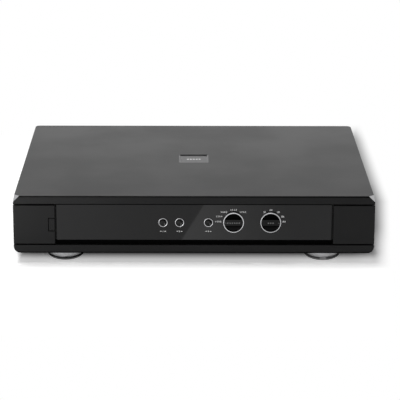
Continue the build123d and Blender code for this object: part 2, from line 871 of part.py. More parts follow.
def ground_nut():
    """Knurled thumb nut."""
    start = rear_outer + ground_collar_height + ground_washer_thickness
    end = start + ground_nut_height
    nut = rod_y(ground_nut_radius, ground_x, rear_z, start, end)
    for index in range(ground_knurl_count):
        turn = Rot(0, index * 360 / ground_knurl_count, 0) * Pos(ground_nut_radius, 0, 0)
        nut -= rod_y(ground_knurl_depth, ground_x + turn.position.X, rear_z + turn.position.Z, start, end)
    return nut - rod_y(ground_stud_radius + running_clearance, ground_x, rear_z, start, end)


# ---------------------------------------------------------------- mains inlet
inlet_face = rear_outer + inlet_flange_thickness
cavity_z = rear_z + cavity_rise
drawer_z = rear_z - drawer_drop


def mains_inlet():
    """Inlet with a plug cavity above a fuse drawer."""
    half_x = inlet_flange_width / 2
    half_z = inlet_flange_height / 2
    flange = block((inlet_x - half_x, inlet_x + half_x), (rear_outer, inlet_face),
                   (rear_z - half_z, rear_z + half_z))
    flange = fillet(flange.edges().filter_by(Axis.Y), inlet_corner)
    half_x = inlet_body_width / 2
    half_z = inlet_body_height / 2
    body = block((inlet_x - half_x, inlet_x + half_x), (rear_outer - inlet_body_depth, rear_outer),
                 (rear_z - half_z, rear_z + half_z))
    half_x = cavity_width / 2
    half_z = cavity_height / 2
    cavity = block((inlet_x - half_x, inlet_x + half_x), (inlet_face - cavity_depth, inlet_face),
                   (cavity_z - half_z, cavity_z + half_z))
    cavity = chamfer(cavity.edges().filter_by(Axis.Y).group_by(Axis.Z)[-1], cavity_corner)
    half_x = drawer_width / 2 + drawer_gap
    half_z = drawer_height / 2 + drawer_gap
    slot = block((inlet_x - half_x, inlet_x + half_x), (inlet_face - drawer_depth - drawer_gap, inlet_face),
                 (drawer_z - half_z, drawer_z + half_z))
    return flange + body - cavity - slot


def inlet_pins():
    """Three flat pins: two at the sides, one between them and higher."""
    places = [(-inlet_pin_spacing, -inlet_pin_rise), (0, inlet_pin_rise),
              (inlet_pin_spacing, -inlet_pin_rise)]
    start = inlet_face - cavity_depth
    half_x = inlet_pin_width / 2
    half_z = inlet_pin_height / 2
    pins = []
    for dx, dz in places:
        x = inlet_x + dx
        z = cavity_z + dz
        pins.append(block((x - half_x, x + half_x), (start, start + inlet_pin_length),
                          (z - half_z, z + half_z)))
    return pins


def fuse_place():
    """Middle of the fuse in its drawer."""
    return inlet_face - fuse_setback - fuse_radius, drawer_z


def fuse_drawer():
    """Drawer with a trough for the fuse, open above."""
    half_x = drawer_width / 2
    half_z = drawer_height / 2
    drawer = block((inlet_x - half_x, inlet_x + half_x), (inlet_face - drawer_depth, inlet_face),
                   (drawer_z - half_z, drawer_z + half_z))
    y, z = fuse_place()
    radius = fuse_radius + fuse_clearance
    reach = fuse_length / 2 + fuse_clearance
    trough = block((inlet_x - reach, inlet_x + reach), (y - radius, y + radius), (z, drawer_z + half_z))
    trough += Pos(inlet_x, y, z) * Rot(0, 90, 0) * Cylinder(radius, 2 * reach)
    return drawer - trough


def fuse():
    y, z = fuse_place()
    return Pos(inlet_x, y, z) * Rot(0, 90, 0) * Cylinder(fuse_radius, fuse_length)


# ---------------------------------------------------------------- boards and supply
sink_x = supply_board_x[0] + sink_start[0]
sink_y = supply_board_y[0] + sink_start[1]
sink_end = supply_board_x[1] - sink_end_gap


def floor_board(x_range, y_range):
    """Horizontal board on its standoffs."""
    board = block(x_range, y_range, (board_z, board_top))
    places = [(x, y, board_top) for x, y in board_corners(x_range, y_range)]
    return drill(board, places, (0, 0, -1), board_grip)


def floor_standoff(x, y):
    post = rod_z(standoff_radius, x, y, floor_top, board_z)
    return post - screw_hole((x, y, board_top), (0, 0, -1), board_grip)


def control_standoff(x, z):
    post = rod_y(standoff_radius, x, z, sub_back, board_front)
    return post - screw_hole((x, board_front + board_thickness, z), (0, -1, 0), board_grip)


def part_on_main_board(start, step, size):
    """Rectangular part that stands on the main board, offset from the board's left front corner."""
    x = main_board_x[0] + start[0] + step[0]
    y = main_board_y[0] + start[1] + step[1]
    return Pos(x, y, board_top + size[2] / 2) * Box(*size)


def op_amps():
    steps = [(index * op_amp_pitch, 0) for index in range(op_amp_count)]
    return [part_on_main_board(op_amp_start, step, op_amp_size) for step in steps]


def relays():
    steps = [(index * relay_pitch, 0) for index in range(relay_count)]
    return [part_on_main_board(relay_start, step, relay_size) for step in steps]


def signal_capacitors():
    steps = [(column * film_pitch[0], row * film_pitch[1])
             for row in range(film_rows) for column in range(film_columns)]
    return [part_on_main_board(film_start, step, film_size) for step in steps]


def smoothing_capacitors():
    """Two rows of two cans on the supply board."""
    parts = []
    for column in range(2):
        for row in range(2):
            x = supply_board_x[0] + electrolytic_start[0] + column * electrolytic_pitch[0]
            y = supply_board_y[0] + electrolytic_start[1] + row * electrolytic_pitch[1]
            can = rod_z(electrolytic_radius, x, y, board_top, board_top + electrolytic_height)
            parts.append(fillet(can.edges().sort_by(Axis.Z)[-1], electrolytic_edge))
    return parts


def heat_sink():
    """Upright wall with fins, for the regulators."""
    z_range = (board_top, board_top + sink_height)
    sink = block((sink_x, sink_x + sink_base), (sink_y, sink_y + sink_length), z_range)
    for start in spread(sink_fin_count, sink_y, sink_y + sink_length - sink_fin):
        sink += block((sink_x, sink_end), (start, start + sink_fin), z_range)
    return sink


def regulators():
    """Regulator packages against the sink's wall, on their legs."""
    parts = []
    middle = sink_y + sink_length / 2
    reach = regulator_pitch * (regulator_count - 1) / 2
    for y in spread(regulator_count, middle - reach, middle + reach):
        x_range = (sink_x - regulator_size[0], sink_x)
        z_low = board_top + regulator_leg[1]
        body = block(x_range, (y - regulator_size[1] / 2, y + regulator_size[1] / 2),
                     (z_low, z_low + regulator_size[2]))
        x = sink_x - regulator_size[0] / 2
        half = regulator_leg[0] / 2
        for step in (-1, 0, 1):
            leg_y = y + step * regulator_leg_pitch
            body += block((x - half, x + half), (leg_y - half, leg_y + half), (board_top, z_low))
        parts.append(body)
    return parts


transformer_bottom = floor_top + transformer_pad_height
transformer_top = transformer_bottom + transformer_height


def transformer_rod(radius, z_start, z_end):
    """Cylinder on the transformer's axis."""
    return rod_z(radius, transformer_x, transformer_y, z_start, z_end)


def transformer():
    """Ring transformer, wound all round."""
    ring = transformer_rod(transformer_radius, transformer_bottom, transformer_top)
    ring -= transformer_rod(transformer_hole, transformer_bottom, transformer_top)
    return fillet(ring.edges().filter_by(GeomType.CIRCLE), transformer_edge)


def transformer_pad():
    pad = transformer_rod(transformer_radius, floor_top, transformer_bottom)
    return pad - transformer_rod(transformer_bolt_radius + screw_clearance, floor_top, transformer_bottom)


def transformer_washer():
    top = transformer_top + transformer_washer_height
    plate = transformer_rod(transformer_washer_radius, transformer_top, top)
    return plate - transformer_rod(transformer_bolt_radius + screw_clearance, transformer_top, top)


def transformer_bolt():
    seat = transformer_top + transformer_washer_height
    shank = transformer_rod(transformer_bolt_radius, base_z, seat)
    hexagon = Plane((transformer_x, transformer_y, seat)) * RegularPolygon(transformer_bolt_head, 6)
    return shank + extrude(hexagon, transformer_bolt_head_height)


# ---------------------------------------------------------------- wiring
def tube(path, radius):
    """Round solid along a path of runs and tangent arcs."""
    section = Plane(origin=path @ 0, z_dir=path % 0) * Circle(radius)
    return sweep(section, path=path)


def mains_lead(rise, side):
    """Lead along the left wall, from the inlet to the power switch."""
    z = power_z + rise
    switch_x = power_middle_x() + side * lead_spread
    inlet_end_x = inlet_x + side * lead_spread
    wall_x = -(web_inner - lead_wall_gap) + side * lead_spread / 2
    switch_y = sub_back + power_switch_depth
    inlet_y = rear_outer - inlet_body_depth
    points = [
        (switch_x, switch_y, z),
        (switch_x, switch_y + lead_run, z),
        (wall_x, switch_y + lead_run + lead_cross, z),
        (wall_x, inlet_y - lead_run - lead_cross, z),
        (inlet_end_x, inlet_y - lead_run, z),
        (inlet_end_x, inlet_y, z),
    ]
    return tube(FilletPolyline(*points, radius=lead_bend), lead_radius)


def ribbon_cable():
    """Flat cable from the back of the control board to the top of the main board."""
    start_y = board_front + board_thickness
    end_z = board_top + ribbon_thickness / 2
    start_z = control_z - ribbon_drop
    points = [
        (ribbon_x, start_y, start_z),
        (ribbon_x, start_y + ribbon_run, start_z),
        (ribbon_x, start_y + ribbon_run + ribbon_fall, end_z),
        (ribbon_x, main_board_y[0] + ribbon_overlap, end_z),
    ]
    path = FilletPolyline(*points, radius=ribbon_bend)
    across = Plane(origin=path @ 0, x_dir=(1, 0, 0), z_dir=path % 0)
    return sweep(across * Rectangle(ribbon_width, ribbon_thickness), path=path)


# ---------------------------------------------------------------- write every piece
def main():
    os.makedirs("parts", exist_ok=True)
    save("top_cover", top_cover())
    save("top_badge", top_badge())
    save("base_tray", base_tray())
    for name, side in (("left", -1), ("right", 1)):
        save(f"side_rail_{name}", side_rail(side))
        save(f"end_block_{name}", end_block(side))
    save("front_subpanel", front_subpanel())
    save("front_panel", front_panel())
    save("rear_panel", rear_panel())
    save("shield_plate", shield_plate())
    save("case_screws", *[screw(*row) for row in screw_list()])

    feet = foot_places()
    save("front_feet", *[foot_body(x, y) for x, y in feet[:2]])
    save("rear_feet", *[foot_body(x, y) for x, y in feet[2:]])
    save("foot_rings", *[foot_ring(x, y) for x, y in feet])
    save("foot_screws", *[foot_screw(x, y) for x, y in feet])

    save("power_button", power_button())
    save("power_plunger", power_plunger())
    save("power_switch", power_switch())
    for name, x in button_places.items():
        save(name, push_button(x))
    save("button_bezels", *[button_bezel(x) for x in button_places.values()])
    save("push_switches", *[push_switch(x) for x in button_places.values()])
    for name, x in knob_places.items():
        save(f"{name}_knob", knob_cap(x))
        save(f"{name}_knob_ring", knob_ring(x))
        save(f"{name}_shaft", knob_shaft(x))
        save(f"{name}_switch", rotary_switch(x))
    save("control_board", control_board())

    places = phono_places()
    save("phono_sockets", *[phono_shell(x, z) for x, z in places])
    save("socket_insulators", *[phono_insulator(x, z) for x, z in places])
    save("socket_nuts", *[phono_nut(x, z) for x, z in places])
    save("balanced_sockets", *[balanced_socket(x) for x in balanced_x])
    pins = [balanced_pin(*place) for x in balanced_x for place in balanced_pin_places(x)]
    save("signal_contacts", *[phono_contact(x, z) for x, z in places], *pins)
    save("ground_post", ground_post())
    save("ground_washer", ground_washer())
    save("ground_nut", ground_nut())
    save("mains_inlet", mains_inlet())
    save("inlet_pins", *inlet_pins())
    save("fuse_drawer", fuse_drawer())
    save("fuse", fuse())

    save("main_board", floor_board(main_board_x, main_board_y))
    save("supply_board", floor_board(supply_board_x, supply_board_y))
    posts = [floor_standoff(x, y) for x, y in floor_board_places()]
    posts += [control_standoff(x, z) for x, z in control_board_places()]
    save("board_standoffs", *posts)
    save("op_amps", *op_amps())
    save("relays", *relays())
    save("signal_capacitors", *signal_capacitors())
    save("smoothing_capacitors", *smoothing_capacitors())
    save("heat_sink", heat_sink())
    save("regulators", *regulators())
    save("transformer", transformer())
    save("transformer_pad", transformer_pad())
    save("transformer_washer", transformer_washer())
    save("transformer_bolt", transformer_bolt())
    save("mains_leads", mains_lead(lead_rise[0], -1), mains_lead(lead_rise[1], 1))
    save("ribbon_cable", ribbon_cable())


main()
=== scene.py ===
"""Looks of the phono preamp: a finish for every piece, the printing, and a plain studio. Metres."""

import json
import math

import bmesh
import bpy
from mathutils import Matrix, Vector


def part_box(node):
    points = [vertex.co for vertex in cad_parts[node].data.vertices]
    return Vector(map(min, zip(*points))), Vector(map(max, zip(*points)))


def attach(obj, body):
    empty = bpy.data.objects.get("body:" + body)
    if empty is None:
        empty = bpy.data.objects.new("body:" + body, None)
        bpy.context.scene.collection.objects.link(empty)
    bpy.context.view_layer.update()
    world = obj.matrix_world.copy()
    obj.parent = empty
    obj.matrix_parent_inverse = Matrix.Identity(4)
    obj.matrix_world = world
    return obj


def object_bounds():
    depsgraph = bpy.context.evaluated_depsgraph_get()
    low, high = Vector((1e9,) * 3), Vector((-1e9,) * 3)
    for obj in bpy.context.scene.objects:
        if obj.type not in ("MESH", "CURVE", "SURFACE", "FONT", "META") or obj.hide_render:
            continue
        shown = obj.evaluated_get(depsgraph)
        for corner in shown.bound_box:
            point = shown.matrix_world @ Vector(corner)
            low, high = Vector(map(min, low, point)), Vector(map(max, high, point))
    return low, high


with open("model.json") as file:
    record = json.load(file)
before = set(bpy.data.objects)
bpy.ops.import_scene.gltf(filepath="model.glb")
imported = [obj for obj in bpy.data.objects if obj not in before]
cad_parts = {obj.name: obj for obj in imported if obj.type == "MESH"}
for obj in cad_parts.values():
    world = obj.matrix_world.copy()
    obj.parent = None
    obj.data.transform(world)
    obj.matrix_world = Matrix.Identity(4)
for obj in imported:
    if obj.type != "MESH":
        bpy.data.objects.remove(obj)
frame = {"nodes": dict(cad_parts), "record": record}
cad_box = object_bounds()

mm = 0.001


# ---------------------------------------------------------------- node trees
class Wire:
    """A value in a node tree. Python arithmetic on it adds Math nodes."""

    def __init__(self, finish, socket):
        self.finish = finish
        self.socket = socket

    def __add__(self, other):
        return self.finish.math("ADD", self, other)

    def __radd__(self, other):
        return self.finish.math("ADD", other, self)

    def __sub__(self, other):
        return self.finish.math("SUBTRACT", self, other)

    def __rsub__(self, other):
        return self.finish.math("SUBTRACT", other, self)

    def __mul__(self, other):
        return self.finish.math("MULTIPLY", self, other)

    def __rmul__(self, other):
        return self.finish.math("MULTIPLY", other, self)

    def __gt__(self, other):
        return self.finish.math("GREATER_THAN", self, other)

    def __lt__(self, other):
        return self.finish.math("LESS_THAN", self, other)

    def __abs__(self):
        return self.finish.math("ABSOLUTE", self)


class Finish:
    """The node tree of a new material, or of the world, under construction."""

    def __init__(self, name, owner=None):
        self.owner = owner or bpy.data.materials.new(name)
        self.owner.use_nodes = True
        self.tree = self.owner.node_tree
        self.tree.nodes.clear()

    def node(self, kind, settings, inputs, output=0):
        """Adds a node: its settings first, then the values or links of its sockets."""
        made = self.tree.nodes.new(kind)
        for key, value in settings.items():
            setattr(made, key, value)
        for key, value in inputs.items():
            if isinstance(value, Wire):
                self.tree.links.new(value.socket, made.inputs[key])
            else:
                made.inputs[key].default_value = value
        return Wire(self, made.outputs[output]) if made.outputs else None

    def math(self, operation, *values):
        """Adds a Math node."""
        return self.node("ShaderNodeMath", {"operation": operation}, dict(enumerate(values)))

    def place(self):
        """The point of the surface, in the frame of the whole object."""
        return self.node("ShaderNodeTexCoord", {}, {}, "Object")

    def parts(self, vector):
        """The three coordinates of a vector."""
        split = self.node("ShaderNodeSeparateXYZ", {}, {"Vector": vector}).socket.node
        return [Wire(self, output) for output in split.outputs]

    def facing(self):
        """The way that the surface looks, as three coordinates."""
        return self.parts(self.node("ShaderNodeTexCoord", {}, {}, "Normal"))

    def noise(self, size, detail=2.0, stretch=(1, 1, 1)):
        """Smooth noise from 0 to 1 with features of this size. Stretch packs them closer along an axis."""
        where = self.node("ShaderNodeMapping", {}, {"Vector": self.place(), "Scale": stretch})
        return self.node("ShaderNodeTexNoise", {}, {"Vector": where, "Scale": 1 / size, "Detail": detail})

    def between(self, value, low, high, start=0.0, end=1.0):
        """The value carried smoothly from one range to another, and kept inside it."""
        inputs = {"Value": value, "From Min": low, "From Max": high, "To Min": start, "To Max": end}
        return self.node("ShaderNodeMapRange", {"interpolation_type": "SMOOTHSTEP"}, inputs)

    def spread(self, noise, low, high):
        """Noise, which is mostly from 0.3 to 0.7, carried to another range."""
        return self.between(noise, 0.3, 0.7, low, high)

    def blend(self, factor, first, second):
        """Colour between two colours."""
        inputs = {0: factor, 6: colour(first), 7: colour(second)}
        return self.node("ShaderNodeMix", {"data_type": "RGBA"}, inputs, 2)

    def bump(self, height, depth):
        """Relief of this depth where the height is 1."""
        return self.node("ShaderNodeBump", {}, {"Height": height, "Distance": depth})

    def shader(self, base, roughness, normal=None, **values):
        """The main shader. Words in the names of its sockets are joined by underscores."""
        inputs = {"Base Color": colour(base), "Roughness": roughness}
        inputs.update({key.replace("_", " "): value for key, value in values.items()})
        if normal is not None:
            inputs["Normal"] = normal
        return self.node("ShaderNodeBsdfPrincipled", {}, inputs)

    def done(self, shader):
        """Ends the tree in any shader."""
        self.node("ShaderNodeOutputMaterial", {}, {"Surface": shader})
        return self.owner

    def plain(self, base, roughness, normal=None, **values):
        """Ends the tree in the main shader."""
        return self.done(self.shader(base, roughness, normal, **values))


def colour(value):
    """A grey level or three values as a colour with alpha. A link passes through."""
    if isinstance(value, Wire):
        return value
    if isinstance(value, float):
        return (value, value, value, 1.0)
    return (*value, 1.0)


def middle_of(node):
    """The middle of a node's box."""
    low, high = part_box(node)
    return (low + high) / 2


# ---------------------------------------------------------------- finishes of the case
# A facet of the lid looks along all three axes, a chamfer along two.
facet_share = 0.05
chamfer_face = 0.73
chamfer_slack = 0.045
turned_away = 0.1
# The brow is the band below the front edge of the lid, and the sill the one at the foot of the tray. Both,
# like the chamfers, are painted near black as shade lines.
chamfer_size = 0.5 * mm
brow_height = 1.7 * mm
sill_height = 1.2 * mm
front_face = 0.9


def satin_black():
    """Fine black anodised plate, with bright facets on the lid, and painted shade lines: near-black
    chamfers, brow and sill.
    """
    finish = Finish("satin_black")
    low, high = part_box("top_cover")
    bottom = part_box("base_tray")[0].z
    depth, level = finish.parts(finish.place())[1:]
    x, y, z = finish.facing()
    facet = (abs(x * y * z) > facet_share) * (level > low.z) * (depth < 0.0)
    widest = finish.math("MAXIMUM", finish.math("MAXIMUM", abs(x), abs(y)), abs(z))
    chamfer = (abs(widest - chamfer_face) < chamfer_slack) * (y < turned_away) * (1 - facet)
    # Painted shade lines: a dark brow below the lid's front edge and a dark sill at the foot of the tray.
    brow = (level > high.z - brow_height) * (level < high.z - chamfer_size)
    sill = level < bottom + sill_height
    edge = finish.math("MAXIMUM", brow, sill) * (y < -front_face)
    cloud = finish.noise(90 * mm, 3.0)
    grain = finish.noise(0.35 * mm, 1.0)
    plate = finish.blend(cloud, (0.0098, 0.0098, 0.0100), (0.0130, 0.0130, 0.0133))
    # The chamfers are painted near black, as shade lines.
    shaded_chamfer_plate = finish.blend(chamfer, plate, 0.001)
    base = finish.blend(facet, shaded_chamfer_plate, (0.50, 0.50, 0.51))
    roughness = finish.spread(cloud, 0.33, 0.38) - facet * 0.08
    face = finish.shader(base, roughness, finish.bump(grain, 0.004 * mm), Metallic=facet, IOR=1.2)
    # Near-black matt shader for the painted shade lines of the brow and sill.
    shade_line_shader = finish.shader(finish.blend(cloud, 0.0008, 0.0012), 0.6, IOR=1.05)
    return finish.done(finish.node("ShaderNodeMixShader", {}, {0: edge, 1: face, 2: shade_line_shader}))


def matt_black():
    """Black painted sheet steel with a light texture."""
    finish = Finish("matt_black")
    grain = finish.noise(0.6 * mm, 3.0)
    cloud = finish.noise(60 * mm)
    base = finish.blend(cloud, (0.009, 0.009, 0.0095), (0.014, 0.014, 0.0145))
    roughness = finish.spread(grain, 0.42, 0.56)
    return finish.plain(base, roughness, finish.bump(grain, 0.02 * mm), IOR=1.3)


def gloss_panel():
    """Polished black moulding with the faintest haze."""
    finish = Finish("gloss_panel")
    cloud = finish.noise(45 * mm, 3.0)
    scratch = finish.noise(1.4 * mm, 2.0, (1, 1, 14))
    tint = finish.blend(cloud, (0.00765, 0.00765, 0.008075), (0.009, 0.009, 0.0095))
    roughness = finish.between(cloud + scratch * 0.3, 0.4, 0.9, 0.03, 0.07)
    return finish.plain(tint, roughness, finish.bump(scratch, 0.0006 * mm), IOR=1.3)


# How far behind the face a hollow begins and is reached, and how far below the axis the lower one is. The
# hollows get painted shade: a near-black base and less coat, the upper one most.
hollow_depths = (0.5 * mm, 1.4 * mm)
lower_hollow = (3.0 * mm, 9.0 * mm)


def knob_black():
    """Gloss black on the front of the caps, with painted shade in the hollows: dimmer in the lower one and
    dead black in the upper.
    """
    finish = Finish("knob_black")
    y, z = finish.parts(finish.place())[1:]
    hollow = finish.between(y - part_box("capacitance_knob")[0].y, *hollow_depths)
    below = finish.between(middle_of("capacitance_knob").z - z, *lower_hollow)
    cloud = finish.noise(6 * mm)
    face = finish.blend(cloud, (0.0045, 0.0045, 0.0047), (0.0075, 0.0075, 0.0078))
    # Painted shade in the hollows: the base goes near black and the coat thins, most in the upper one.
    tint = finish.blend(hollow, face, 0.0006)
    coat = 1 - hollow * (0.88 - below * 0.35)
    roughness = finish.spread(cloud, 0.3, 0.4)
    return finish.plain(tint, roughness, Specular_IOR_Level=0.0, Coat_Weight=coat, Coat_Roughness=0.1,
                        Coat_IOR=1.2)


# The gloss of a button is a disc, shifted down and to the left, with a soft rim between two radii. Beyond
# it the cap is painted dark as shade.
gloss_shift = 0.75 * mm
gloss_rim = (3.0 * mm, 3.9 * mm)


def button_black(node):
    """Gloss black cap, with painted shade in a dark crescent at the upper right of its rim."""
    finish = Finish(f"{node}_black")
    middle = middle_of(node)
    x, z = finish.parts(finish.place())[::2]
    across = x - middle.x + gloss_shift
    up = z - middle.z + gloss_shift
    # Painted shade: beyond the shifted gloss disc the cap turns dark and loses its coat, at the upper right
    # of its rim.
    crescent = finish.between(finish.math("SQRT", across * across + up * up), *gloss_rim)
    cloud = finish.noise(4 * mm)
    face = finish.blend(cloud, (0.014, 0.014, 0.0143), (0.02, 0.02, 0.0204))
    tint = finish.blend(crescent, face, 0.0006)
    roughness = finish.spread(cloud, 0.3, 0.4)
    return finish.plain(tint, roughness, Specular_IOR_Level=0.0, Coat_Weight=1 - crescent * 0.9,
                        Coat_Roughness=0.06, Coat_IOR=1.22)


def bright_trim():
    """Turned and polished metal with a very fine grain."""
    finish = Finish("bright_trim")
    fine = finish.noise(0.25 * mm, 2.0)
    cloud = finish.noise(3 * mm)
    base = finish.blend(cloud, (0.37, 0.37, 0.38), (0.45, 0.45, 0.46))
    roughness = finish.spread(fine, 0.22, 0.32)
    return finish.plain(base, roughness, finish.bump(fine, 0.002 * mm), Metallic=1.0)


def badge_metal():
    """Satin plate brushed from side to side."""
    finish = Finish("badge_metal")
    brush = finish.noise(0.3 * mm, 3.0, (0.05, 1, 1))
    base = finish.blend(brush, (0.062, 0.062, 0.064), (0.095, 0.095, 0.097))
    roughness = finish.spread(brush, 0.3, 0.42)
    return finish.plain(base, roughness, finish.bump(brush, 0.003 * mm), Metallic=1.0)


def foot_metal():
    """Pale turned metal with fine level grooves."""
    finish = Finish("foot_metal")
    groove = finish.noise(0.3 * mm, 2.0, (0.08, 0.08, 1))
    base = finish.blend(groove, (0.42, 0.42, 0.43), (0.54, 0.54, 0.55))
    roughness = finish.spread(groove, 0.3, 0.42)
    return finish.plain(base, roughness, finish.bump(groove, 0.004 * mm), Metallic=0.7)


# How far the painted light on the right side spreads, and the edges of the painted highlight in the middle
# of the right rings.
light_side_reach = 20 * mm
highlight_reach = (2.5 * mm, 5.0 * mm)


def foot_rubber():
    """Smooth dark rubber with a moulded sheen. The rings on the right are painted lighter, as if lit from
    that side, with a pale painted highlight in the middle.
    """
    finish = Finish("foot_rubber")
    low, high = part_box("front_feet")
    right_foot = high.x - (high.y - low.y) / 2
    x = finish.parts(finish.place())[0]
    cloud = finish.noise(5 * mm, 3.0)
    # Painted light: the rings on the right are lighter as if lit from that side, and carry a pale painted
    # highlight in their middle.
    painted_light_side = finish.between(x, -light_side_reach, light_side_reach)
    painted_highlight = finish.between(abs(x - right_foot), *highlight_reach, 1.0, 0.0)
    plain_rubber = finish.blend(cloud, (0.010, 0.010, 0.0105), (0.018, 0.018, 0.0185))
    painted_lit_rubber = finish.blend(cloud, (0.09, 0.09, 0.091), (0.13, 0.13, 0.132))
    base = finish.blend(painted_highlight, finish.blend(painted_light_side, plain_rubber, painted_lit_rubber), 0.44)
    roughness = finish.spread(cloud, 0.16, 0.3) + painted_light_side * 0.15
    return finish.plain(base, roughness, finish.bump(cloud, 0.01 * mm), IOR=1.45)


def subpanel_black():
    """Deep black paint, darker than the other black steel as painted shade in the slot below the panel, and
    painted lighter beside the ends of the panel, where the gaps show.
    """
    finish = Finish("subpanel_black")
    low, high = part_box("front_panel")
    x, z = finish.parts(finish.place())[::2]
    # Painted light beside the ends of the panel, where the gaps show.
    beside = finish.math("MAXIMUM", x > high.x, x < low.x) * (z > low.z)
    cloud = finish.noise(15 * mm, 3.0)
    # Painted shade: deeper black than the other steel, for the slot below the panel.
    paint = finish.blend(cloud, 0.0015, 0.003)
    base = finish.blend(beside, paint, 0.05)
    return finish.plain(base, finish.spread(cloud, 0.75, 0.85), IOR=1.05)


# ---------------------------------------------------------------- finishes of fittings and inner parts
def worn_metal(name, dark, light, roughness, grain=0.5 * mm):
    """Bare or plated metal with a little tarnish."""
    finish = Finish(name)
    fine = finish.noise(grain, 2.0)
    tarnish = finish.noise(12 * mm, 4.0)
    base = finish.blend(tarnish, dark, light)
    rough = finish.spread(fine, 0.8 * roughness, 1.2 * roughness)
    return finish.plain(base, rough, finish.bump(fine, 0.003 * mm), Metallic=1.0)


def moulding(name, dark, light, roughness, depth=0.008 * mm):
    """Moulded plastic with a fine spark-eroded texture."""
    finish = Finish(name)
    fine = finish.noise(0.4 * mm, 2.0)
    cloud = finish.noise(15 * mm, 3.0)
    base = finish.blend(cloud, dark, light)
    rough = finish.spread(fine, 0.85 * roughness, 1.15 * roughness)
    return finish.plain(base, rough, finish.bump(fine, depth), IOR=1.45)


def insulator_plastic():
    """White in the upper row of sockets and red in the lower one."""
    finish = Finish("insulator_plastic")
    upper = finish.parts(finish.place())[2] > middle_of("socket_insulators").z
    cloud = finish.noise(4 * mm)
    red = finish.blend(cloud, (0.45, 0.02, 0.02), (0.55, 0.03, 0.025))
    white = finish.blend(cloud, (0.72, 0.72, 0.70), (0.80, 0.80, 0.78))
    return finish.plain(finish.blend(upper, red, white), finish.spread(cloud, 0.35, 0.45))


def board_green():
    """Laminate under green lacquer, with faint copper tracks below it."""
    finish = Finish("board_green")
    wander = finish.noise(25 * mm, 1.0)
    track = finish.node("ShaderNodeTexWave", {"bands_direction": "DIAGONAL"},
                        {"Vector": finish.place(), "Scale": 60.0, "Distortion": 9.0, "Detail": 0.0})
    copper = finish.between(track, 0.72, 0.8)
    lacquer = finish.blend(wander, (0.004, 0.045, 0.018), (0.008, 0.07, 0.028))
    base = finish.blend(copper, lacquer, (0.03, 0.13, 0.05))
    return finish.plain(base, finish.spread(wander, 0.25, 0.35), finish.bump(copper, 0.03 * mm))


wires_round = 260.0


def winding_tape():
    """Copper wire laid side by side round the ring, under clear tape, painted darker in the grooves between
    the wires as shade.
    """
    finish = Finish("winding_tape")
    middle = middle_of("transformer")
    x, y = finish.parts(finish.place())[:2]
    wires = finish.math("SINE", wires_round * finish.math("ARCTAN2", y - middle.y, x - middle.x))
    # Painted shade: the copper is darker in the grooves between the wires.
    shade = finish.between(wires, -1.0, 1.0)
    base = finish.blend(shade, (0.16, 0.05, 0.012), (0.45, 0.17, 0.05))
    roughness = finish.between(shade, 0.0, 1.0, 0.45, 0.3)
    return finish.plain(base, roughness, finish.bump(shade, 0.2 * mm), Metallic=0.4, Coat_Weight=0.5,
                        Coat_Roughness=0.2)


fuse_cap_length = 5.0 * mm


def fuse_glass():
    """Clear tube with metal caps at its ends."""
    finish = Finish("fuse_glass")
    low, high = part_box("fuse")
    from_middle = abs(finish.parts(finish.place())[0] - (low.x + high.x) / 2)
    cap = from_middle > (high.x - low.x) / 2 - fuse_cap_length
    streak = finish.noise(2 * mm)
    base = finish.blend(cap, (0.82, 0.88, 0.88), (0.70, 0.70, 0.68))
    return finish.plain(base, finish.spread(streak, 0.05, 0.15), Metallic=cap,
                        Alpha=0.35 + cap * 0.65)


core_pitch = 1.27 * mm


def ribbon_grey():
    """Flat cable: a row of grey cores, painted darker in the grooves between them as shade."""
    finish = Finish("ribbon_grey")
    x = finish.parts(finish.place())[0]
    cores = finish.math("SINE", x * (math.tau / core_pitch))
    # Painted shade: the grey is darker in the grooves between the cores.
    shade = finish.between(cores, -1.0, 0.2)
    base = finish.blend(shade, (0.16, 0.16, 0.17), (0.42, 0.42, 0.44))
    return finish.plain(base, finish.between(shade, 0.0, 1.0, 0.6, 0.45), finish.bump(shade, 0.15 * mm))


def lead_sleeve():
    """Brown lead beside a blue one."""
    finish = Finish("lead_sleeve")
    upper = finish.parts(finish.place())[2] > middle_of("mains_leads").z
    cloud = finish.noise(6 * mm)
    brown = finish.blend(cloud, (0.09, 0.03, 0.015), (0.12, 0.045, 0.02))
    blue = finish.blend(cloud, (0.02, 0.06, 0.25), (0.03, 0.08, 0.32))
    return finish.plain(finish.blend(upper, blue, brown), finish.spread(cloud, 0.4, 0.5))


def ink(name, level):
    """Printing ink of this grey level, a little uneven."""
    finish = Finish(name)
    cloud = finish.noise(0.8 * mm)
    base = finish.blend(cloud, 0.9 * level, level)
    return finish.plain(base, finish.spread(cloud, 0.5, 0.65), IOR=1.3)


